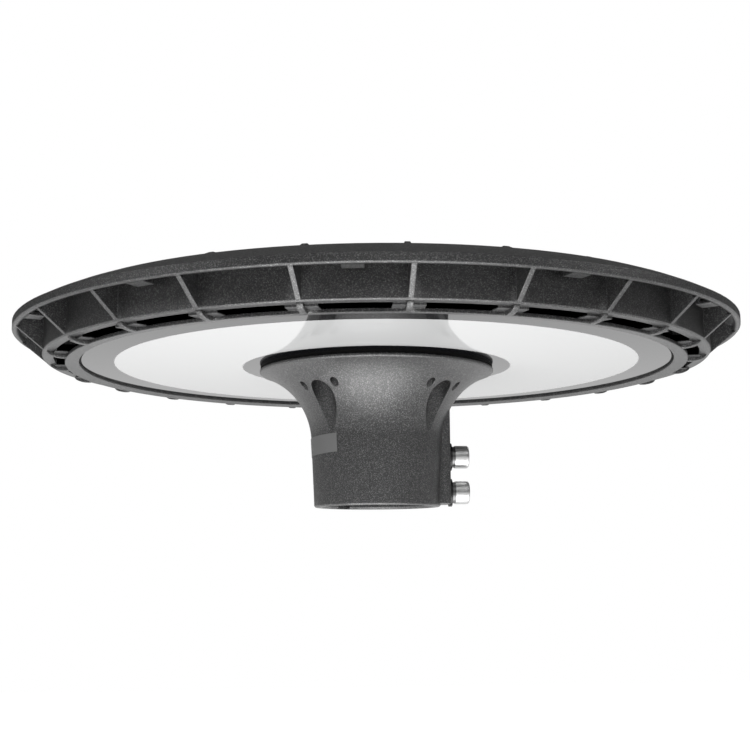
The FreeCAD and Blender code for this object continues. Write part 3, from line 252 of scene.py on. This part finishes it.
# black rubber, made darker and less glossy than plain rubber, so that it also paints in the shade round
# the gaskets
sealLook = {
    "dark": (0.003, 0.003, 0.003), "light": (0.005, 0.005, 0.005),
    "cloudScale": 60.0, "cloudDetail": 3.0, "grainScale": 900.0, "grainDetail": 2.0,
    "roughLow": 0.6, "roughHigh": 0.75, "bump": 0.2, "bumpHeight": 0.0002, "gloss": 0.15,
}
plasticLook = dict(sealLook, gloss=0.5)
boardLook = dict(
    plasticLook, dark=(0.80, 0.80, 0.78), light=(0.88, 0.88, 0.86), roughLow=0.35, roughHigh=0.5)
chipLook = dict(
    plasticLook, dark=(0.80, 0.62, 0.14), light=(0.90, 0.74, 0.22), roughLow=0.25, roughHigh=0.4)
plateLook = dict(
    plasticLook, dark=(0.19, 0.19, 0.19), light=(0.23, 0.23, 0.23), roughLow=0.35, roughHigh=0.5)
driverLook = dict(
    plasticLook, dark=(0.52, 0.52, 0.50), light=(0.60, 0.60, 0.58), roughLow=0.4, roughHigh=0.55)
terminalLook = dict(
    plasticLook, dark=(0.66, 0.65, 0.60), light=(0.74, 0.73, 0.68), roughLow=0.4, roughHigh=0.5)
leadLook = dict(
    plasticLook, dark=(0.012, 0.012, 0.013), light=(0.02, 0.02, 0.022), roughLow=0.3, roughHigh=0.42)
glandLook = dict(
    plasticLook, dark=(0.016, 0.016, 0.016), light=(0.026, 0.026, 0.026), roughLow=0.42, roughHigh=0.55)

coat = makeCoat("anthraciteCoat", coatLook)
stainless = makeSteel("stainless", steelLook)
finishes = (
    (coat, ("housing", "spigot", "driver_cover")),
    (makePrintedGlass("printedGlass", glassLook), ("diffuser",)),
    (makeMoulded("sealRubber", sealLook), (
        "outer_gasket", "inner_gasket", "spigot_gasket", "gland_seal", "cover_gasket", "lead_grommet")),
    (stainless, (
        "spigot_screws", "clamp_screws", "led_board_screws", "driver_screws", "terminal_block_screws",
        "cover_screws")),
    (makeSteel("springSteel", springLook), ("clamp_spring_washers",)),
    (makeSteel("washerSteel", washerLook), ("clamp_flat_washers",)),
    (makeSteel("plainBrass", brassLook), ("earth_screw",)),
    (makeMoulded("boardMask", boardLook), ("led_board",)),
    (makeMoulded("chipPhosphor", chipLook), ("led_chips",)),
    (makeMoulded("driverCase", driverLook), ("driver",)),
    (makeMoulded("terminalPlastic", terminalLook), ("terminal_block",)),
    (makeMoulded("leadSleeve", leadLook), ("supply_leads", "dc_leads")),
    (makeMoulded("glandNylon", glandLook), ("gland_body", "gland_cap_nut", "gland_locknut")),
)
finishOf = {name: finish for finish, names in finishes for name in names}
for name, node in nodes.items():
    node.data.materials.clear()
    node.data.materials.append(finishOf[name])
print("finishes on", len(finishOf), "nodes")


# bare plate round the neck, knurled rims on the clamp screw heads,
# rounded feet under the ribs and tabs between the lugs and the lip of the rim

plate = {
    "low": 0.02905, "high": 0.03955, "lowRadius": 0.03756, "highRadius": 0.03800,
    "from": -190.6, "to": -130.0, "thickness": 0.00012, "steps": 240, "tilt": 1.8, "lift": 1.003,
}
knurl = {
    "radius": 0.00650, "tooth": 1.012, "start": 0.0456, "end": 0.0517, "teeth": 40, "wall": 0.0005,
    "heights": (0.0081, 0.0287),
}
feet = {
    "count": 24, "radius": 0.1780, "height": 0.0819, "outer": 0.0090, "inner": 0.0028,
    "drop": 0.0036, "top": 0.0005, "thickness": 0.0030, "edge": 0.0007, "steps": 40,
}
tabs = {
    "count": 12, "start": -7.5, "inner": 0.1973, "outer": 0.2021, "low": 0.0947, "high": 0.0960,
    "width": 0.0100, "edge": 0.0003,
}
rounding = {"segments": 3, "sharpAngle": 60, "smoothAngle": 35}


def nameNew(name):
    piece = bpy.context.object
    piece.name = name
    piece.data.name = name
    return piece


def selectParts(piece, kind, wanted):
    # faces or points are picked by their place
    bpy.ops.object.mode_set(mode="EDIT")
    bpy.ops.mesh.select_mode(type="FACE" if kind == "faces" else "VERT")
    bpy.ops.mesh.select_all(action="DESELECT")
    bpy.ops.object.mode_set(mode="OBJECT")
    for part in piece.data.polygons if kind == "faces" else piece.data.vertices:
        part.select = wanted(part.center if kind == "faces" else part.co)
    bpy.ops.object.mode_set(mode="EDIT")


def addWall(piece, thickness, offset):
    wall = piece.modifiers.new("wall", "SOLIDIFY")
    wall.thickness = thickness
    wall.offset = offset
    bpy.ops.object.modifier_apply(modifier=wall.name)


def roundEdges(piece, width):
    edge = piece.modifiers.new("edge", "BEVEL")
    edge.width = width
    edge.segments = rounding["segments"]
    edge.limit_method = "ANGLE"
    edge.angle_limit = radians(rounding["sharpAngle"])
    bpy.ops.object.modifier_apply(modifier=edge.name)


def copyRound(count):
    # copies of the whole mesh round the post axis
    bpy.ops.object.mode_set(mode="EDIT")
    bpy.ops.mesh.select_all(action="SELECT")
    bpy.ops.mesh.spin(
        steps=count - 1, dupli=True, angle=radians(360 * (count - 1) / count),
        center=(0, 0, 0), axis=(0, 0, 1))
    bpy.ops.mesh.select_all(action="SELECT")
    bpy.ops.mesh.normals_make_consistent(inside=False)
    bpy.ops.object.mode_set(mode="OBJECT")


def settle(piece, finish):
    bpy.ops.object.transform_apply(location=True, rotation=True, scale=True)
    bpy.ops.object.shade_smooth_by_angle(angle=radians(rounding["smoothAngle"]))
    piece.data.materials.append(finish)
    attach(piece, "root")


def makePlate():
    bpy.ops.object.select_all(action="DESELECT")
    bpy.ops.mesh.primitive_cone_add(
        vertices=plate["steps"], radius1=plate["lowRadius"], radius2=plate["highRadius"],
        depth=plate["high"] - plate["low"], end_fill_type="NOTHING",
        location=(0, 0, (plate["low"] + plate["high"]) / 2))
    piece = nameNew("barePlate")

    def besidePlate(place):
        angle = degrees(atan2(place.y, place.x))
        angle = angle - 360 if angle > 0 else angle
        return not plate["from"] <= angle <= plate["to"]

    selectParts(piece, "faces", besidePlate)
    bpy.ops.mesh.delete(type="FACE")
    bpy.ops.object.mode_set(mode="OBJECT")
    addWall(piece, plate["thickness"], 1.0)
    middle = radians((plate["from"] + plate["to"]) / 2)
    piece.rotation_mode = "AXIS_ANGLE"  # stuck on a little askew
    piece.rotation_axis_angle = (radians(plate["tilt"]), cos(middle), sin(middle), 0)
    piece.scale = (plate["lift"], plate["lift"], 1)
    settle(piece, makeMoulded("plateFilm", plateLook))


def makeKnurls():
    # one rim, then a copy with its own mesh on the other head
    middle = (knurl["start"] + knurl["end"]) / 2
    first, second = knurl["heights"]
    bpy.ops.object.select_all(action="DESELECT")
    bpy.ops.mesh.primitive_cylinder_add(
        vertices=knurl["teeth"] * 2, radius=knurl["radius"], depth=knurl["end"] - knurl["start"],
        end_fill_type="NOTHING", location=(middle, 0, first), rotation=(0, radians(90), 0))
    rim = nameNew("knurlLow")
    step = 360 / (knurl["teeth"] * 2)
    selectParts(rim, "points", lambda place: round(degrees(atan2(place.y, place.x)) / step) % 2 == 0)
    bpy.ops.transform.resize(
        value=(1, knurl["tooth"], knurl["tooth"]), center_override=(middle, 0, first))
    bpy.ops.object.mode_set(mode="OBJECT")
    addWall(rim, knurl["wall"], -1.0)
    bpy.ops.object.duplicate(linked=False)
    bpy.ops.transform.translate(value=(0, 0, second - first))
    nameNew("knurlHigh")
    for name in ("knurlLow", "knurlHigh"):
        bpy.ops.object.select_all(action="DESELECT")
        piece = bpy.data.objects[name]
        piece.select_set(True)
        bpy.context.view_layer.objects.active = piece
        settle(piece, stainless)


def makeFeet():
    # a disc is pressed to the shape of one foot, then copied round the axis
    bpy.ops.object.select_all(action="DESELECT")
    centre = (feet["radius"], 0, feet["height"])
    bpy.ops.mesh.primitive_cylinder_add(
        vertices=feet["steps"], radius=feet["outer"], depth=feet["thickness"],
        location=centre, rotation=(radians(90), 0, 0))
    piece = nameNew("ribFeet")
    bpy.ops.object.transform_apply(location=True, rotation=True, scale=True)
    inner, drop, top = (feet[side] / feet["outer"] for side in ("inner", "drop", "top"))
    halves = (
        (lambda place: place.x < feet["radius"], (inner, 1, 1)),
        (lambda place: place.z < feet["height"], (1, 1, drop)),
        (lambda place: place.z > feet["height"], (1, 1, top)),
    )
    for wanted, size in halves:
        selectParts(piece, "points", wanted)
        bpy.ops.transform.resize(value=size, center_override=centre)
        bpy.ops.object.mode_set(mode="OBJECT")
    roundEdges(piece, feet["edge"])
    copyRound(feet["count"])
    settle(piece, coat)


def makeTabs():
    # one tab, then copies round the axis
    bpy.ops.object.select_all(action="DESELECT")
    middle = (tabs["inner"] + tabs["outer"]) / 2
    height = (tabs["low"] + tabs["high"]) / 2
    turn = radians(tabs["start"])
    bpy.ops.mesh.primitive_cube_add(
        size=1, location=(middle * cos(turn), middle * sin(turn), height), rotation=(0, 0, turn),
        scale=(tabs["outer"] - tabs["inner"], tabs["width"], tabs["high"] - tabs["low"]))
    piece = nameNew("rimTabs")
    bpy.ops.object.transform_apply(location=True, rotation=True, scale=True)
    roundEdges(piece, tabs["edge"])
    copyRound(tabs["count"])
    settle(piece, coat)


makePlate()
makeKnurls()
makeFeet()
makeTabs()
print("plate, knurls, feet and tabs made")


# studio: pale floor below the camera, white surroundings, soft lamps below, in front and above

studio = {
    "floorHeight": -1.6, "floorSize": 30.0, "floorColour": (0.86, 0.86, 0.86), "floorRough": 0.8,
    "floorWhite": 0.79, "floorLift": 0.15, "white": (1, 1, 1),
    "ambient": 0.16, "ceiling": 0.10, "ceilingStart": -0.10, "ceilingEnd": 0.08,
}
lamps = {
    "underLamp": {"place": (-0.06, -0.21, -0.33), "turn": (180, 0, 0), "size": 0.54, "power": 2.75},
    "leftLamp": {"place": (-1.3, -0.5, 0.8), "turn": (63, 0, -68), "size": 0.7, "power": 3.6},
    "rightLamp": {"place": (1.25, -0.5, 0.95), "turn": (57, 0, 68), "size": 0.7, "power": 5.0},
    "frontLamp": {"place": (0.0, -1.5, 0.90), "turn": (60, 0, 0), "size": 0.9, "power": 3.2},
    "topLamp": {"place": (-0.2, -0.3, 1.7), "turn": (10, -7, 0), "size": 1.2, "power": 3.8},
}


def seenRays(tree):
    # rays from the camera, and those with mirror and glass rays
    path = addNode(tree, "ShaderNodeLightPath")
    direct = path.outputs["Is Camera Ray"]
    mirrored = mathStep(
        tree, "MAXIMUM", path.outputs["Is Glossy Ray"], path.outputs["Is Transmission Ray"])
    return direct, mathStep(tree, "MAXIMUM", direct, mirrored)


def makeFloor():
    bpy.ops.object.select_all(action="DESELECT")
    bpy.ops.mesh.primitive_plane_add(size=studio["floorSize"], location=(0, 0, studio["floorHeight"]))
    floor = nameNew("floor")
    bpy.ops.object.transform_apply(location=True, rotation=True, scale=True)
    paint, tree, shader = newMaterial("paleFloor")
    feed(tree, studio["floorColour"], shader.inputs["Base Color"])
    feed(tree, studio["floorRough"], shader.inputs["Roughness"])
    white = addNode(tree, "ShaderNodeEmission")
    feed(tree, studio["white"], white.inputs["Color"])
    direct, seen = seenRays(tree)
    glow = mathStep(tree, "MULTIPLY", seen, studio["floorWhite"])
    lift = mathStep(tree, "MULTIPLY", direct, studio["floorLift"])
    feed(tree, mathStep(tree, "ADD", glow, lift), white.inputs["Strength"])
    both = addNode(tree, "ShaderNodeAddShader")  # the lit floor, and so its shadow, stays under the white
    tree.links.new(shader.outputs[0], both.inputs[0])
    tree.links.new(white.outputs[0], both.inputs[1])
    tree.links.new(both.outputs[0], tree.nodes["Material Output"].inputs["Surface"])
    floor.data.materials.append(paint)


def makeWorld():
    # white all round to the camera; mirrors see it white up to a dim ceiling
    world = bpy.data.worlds.new("studioWorld")
    bpy.context.scene.world = world
    world.use_nodes = True
    tree = world.node_tree
    soft = tree.nodes["Background"]
    feed(tree, studio["white"], soft.inputs["Color"])
    feed(tree, studio["ambient"], soft.inputs["Strength"])
    direct, seen = seenRays(tree)
    way = addNode(tree, "ShaderNodeTexCoord")
    parts = addNode(tree, "ShaderNodeSeparateXYZ")
    tree.links.new(way.outputs["Generated"], parts.inputs[0])
    shade = ramp(
        tree, parts.outputs["Z"], studio["ceilingStart"], studio["ceilingEnd"], 1.0, studio["ceiling"])
    white = addNode(tree, "ShaderNodeBackground")
    feed(tree, studio["white"], white.inputs["Color"])
    feed(tree, mathStep(tree, "MAXIMUM", direct, shade), white.inputs["Strength"])
    mix = addNode(tree, "ShaderNodeMixShader")
    for socket, output in zip(mix.inputs, (seen, soft.outputs[0], white.outputs[0])):
        tree.links.new(output, socket)
    tree.links.new(mix.outputs[0], tree.nodes["World Output"].inputs["Surface"])


def makeLamp(name, lamp):
    bpy.ops.object.light_add(
        type="AREA", location=lamp["place"], rotation=[radians(angle) for angle in lamp["turn"]])
    light = bpy.context.object
    light.name = name
    light.data.shape = "DISK"
    light.data.size = lamp["size"]
    light.data.energy = lamp["power"]
    light.visible_camera = False


makeFloor()
makeWorld()
for name, lamp in lamps.items():
    makeLamp(name, lamp)
print("studio ready")

view = {
    "place": (-0.058045, -0.713643, -0.030), "turn": (98.485, 0.4292, -4.5186),
    "lens": 59.5, "sensor": 36.0, "nearest": 0.01,
}
bpy.ops.object.camera_add(
    location=view["place"], rotation=[radians(angle) for angle in view["turn"]])
camera = bpy.context.object
camera.data.lens = view["lens"]
camera.data.sensor_width = view["sensor"]
camera.data.clip_start = view["nearest"]
bpy.context.scene.camera = camera
bpy.context.scene.view_settings.view_transform = "Standard"
print("camera set")
